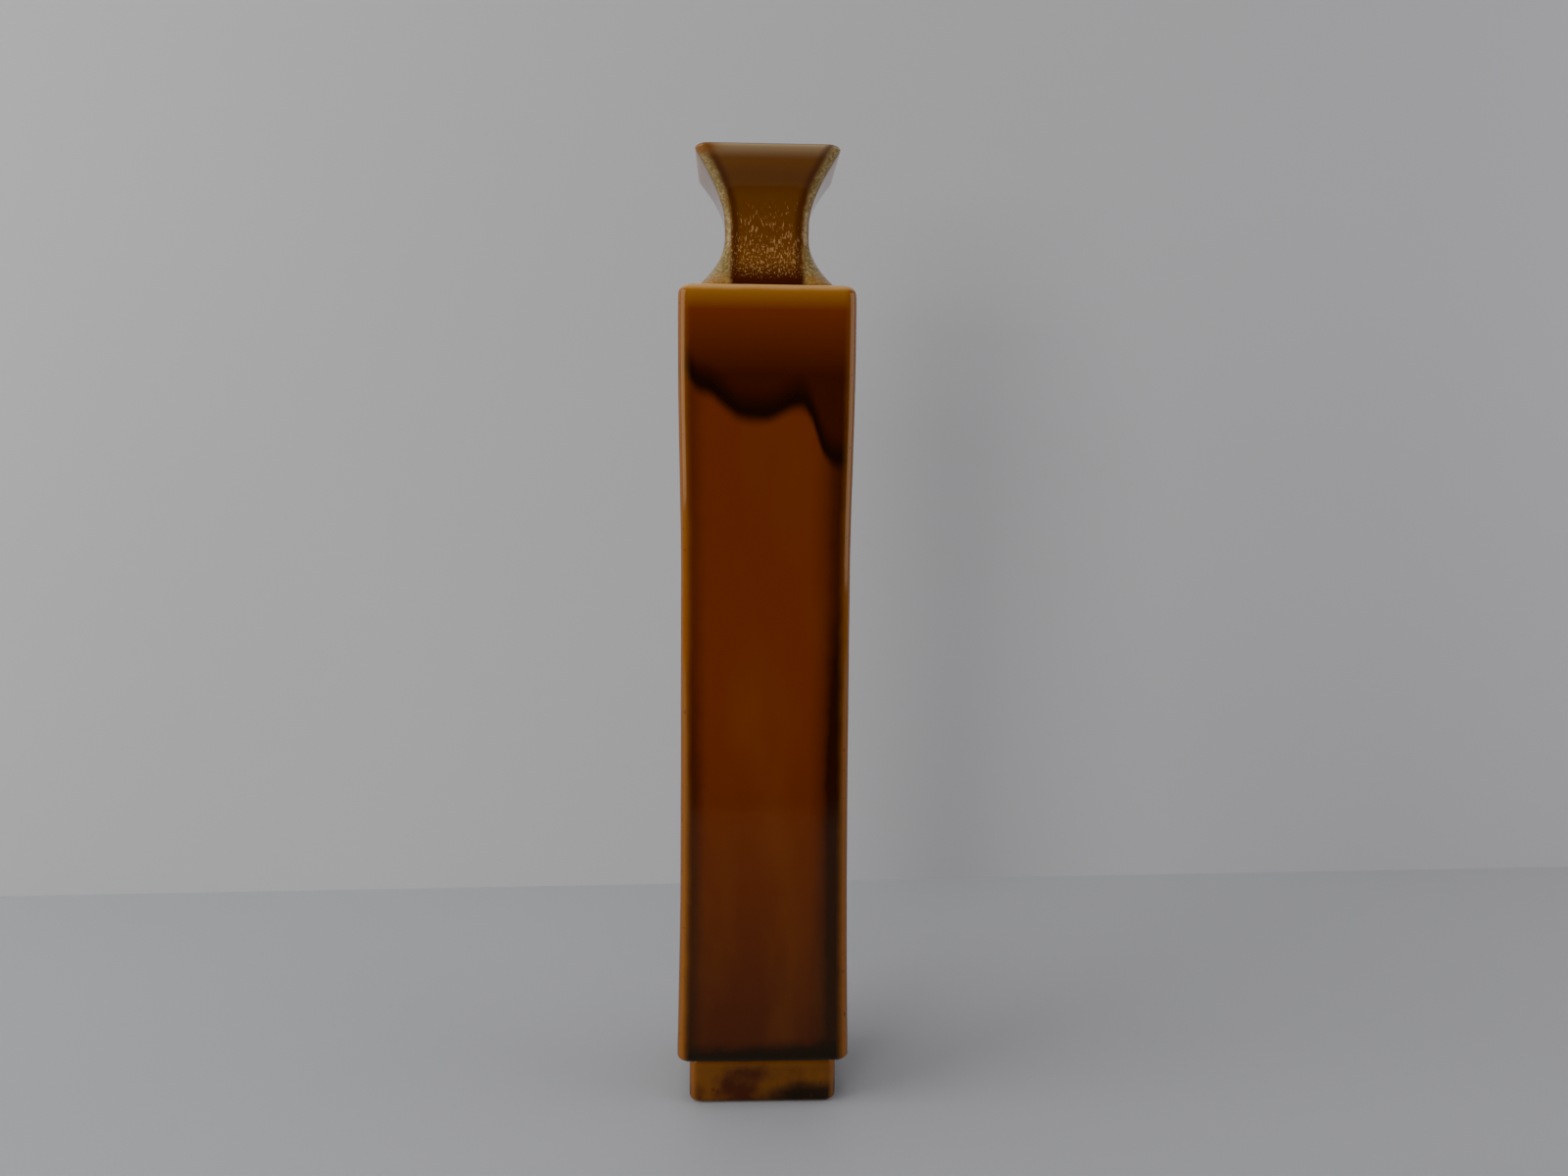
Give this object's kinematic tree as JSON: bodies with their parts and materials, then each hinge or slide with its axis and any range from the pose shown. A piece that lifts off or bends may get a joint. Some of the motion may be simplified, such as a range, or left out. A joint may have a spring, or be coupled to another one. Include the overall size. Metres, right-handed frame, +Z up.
{
  "type": "ceramic vase",
  "caption": "Tall slim square bottle vase in amber glazed stoneware, with a waisted square neck, a flared mouth and a recessed foot.",
  "frame": {"origin": "middle of the foot's resting face, on the vase's upright axis", "axes": "+Z up the vase's long axis, +Y towards its back, +X to its right as seen from the front"},
  "size_m": [0.0728, 0.0728, 0.4],
  "materials": {
    "body_glaze": "deep amber-brown glaze, glossy, running nearly black where it is thick",
    "shoulder_glaze": "olive-gold glaze, glossy, thin over the edges",
    "neck_glaze": "brown glaze with cream streaks, glossy",
    "foot_glaze": "amber glaze, glossy, wiped back at the resting edge"
  },
  "bodies": {
    "root": {"front_foot_strip": "foot_glaze", "right_foot_strip": "foot_glaze", "back_foot_strip": "foot_glaze", "left_foot_strip": "foot_glaze", "base_slab": "body_glaze", "front_wall": "body_glaze", "right_wall": "body_glaze", "back_wall": "body_glaze", "left_wall": "body_glaze", "shoulder_slab": "shoulder_glaze", "front_neck_slab": "neck_glaze", "right_neck_slab": "neck_glaze", "back_neck_slab": "neck_glaze", "left_neck_slab": "neck_glaze"}
  },
  "joints": []
}
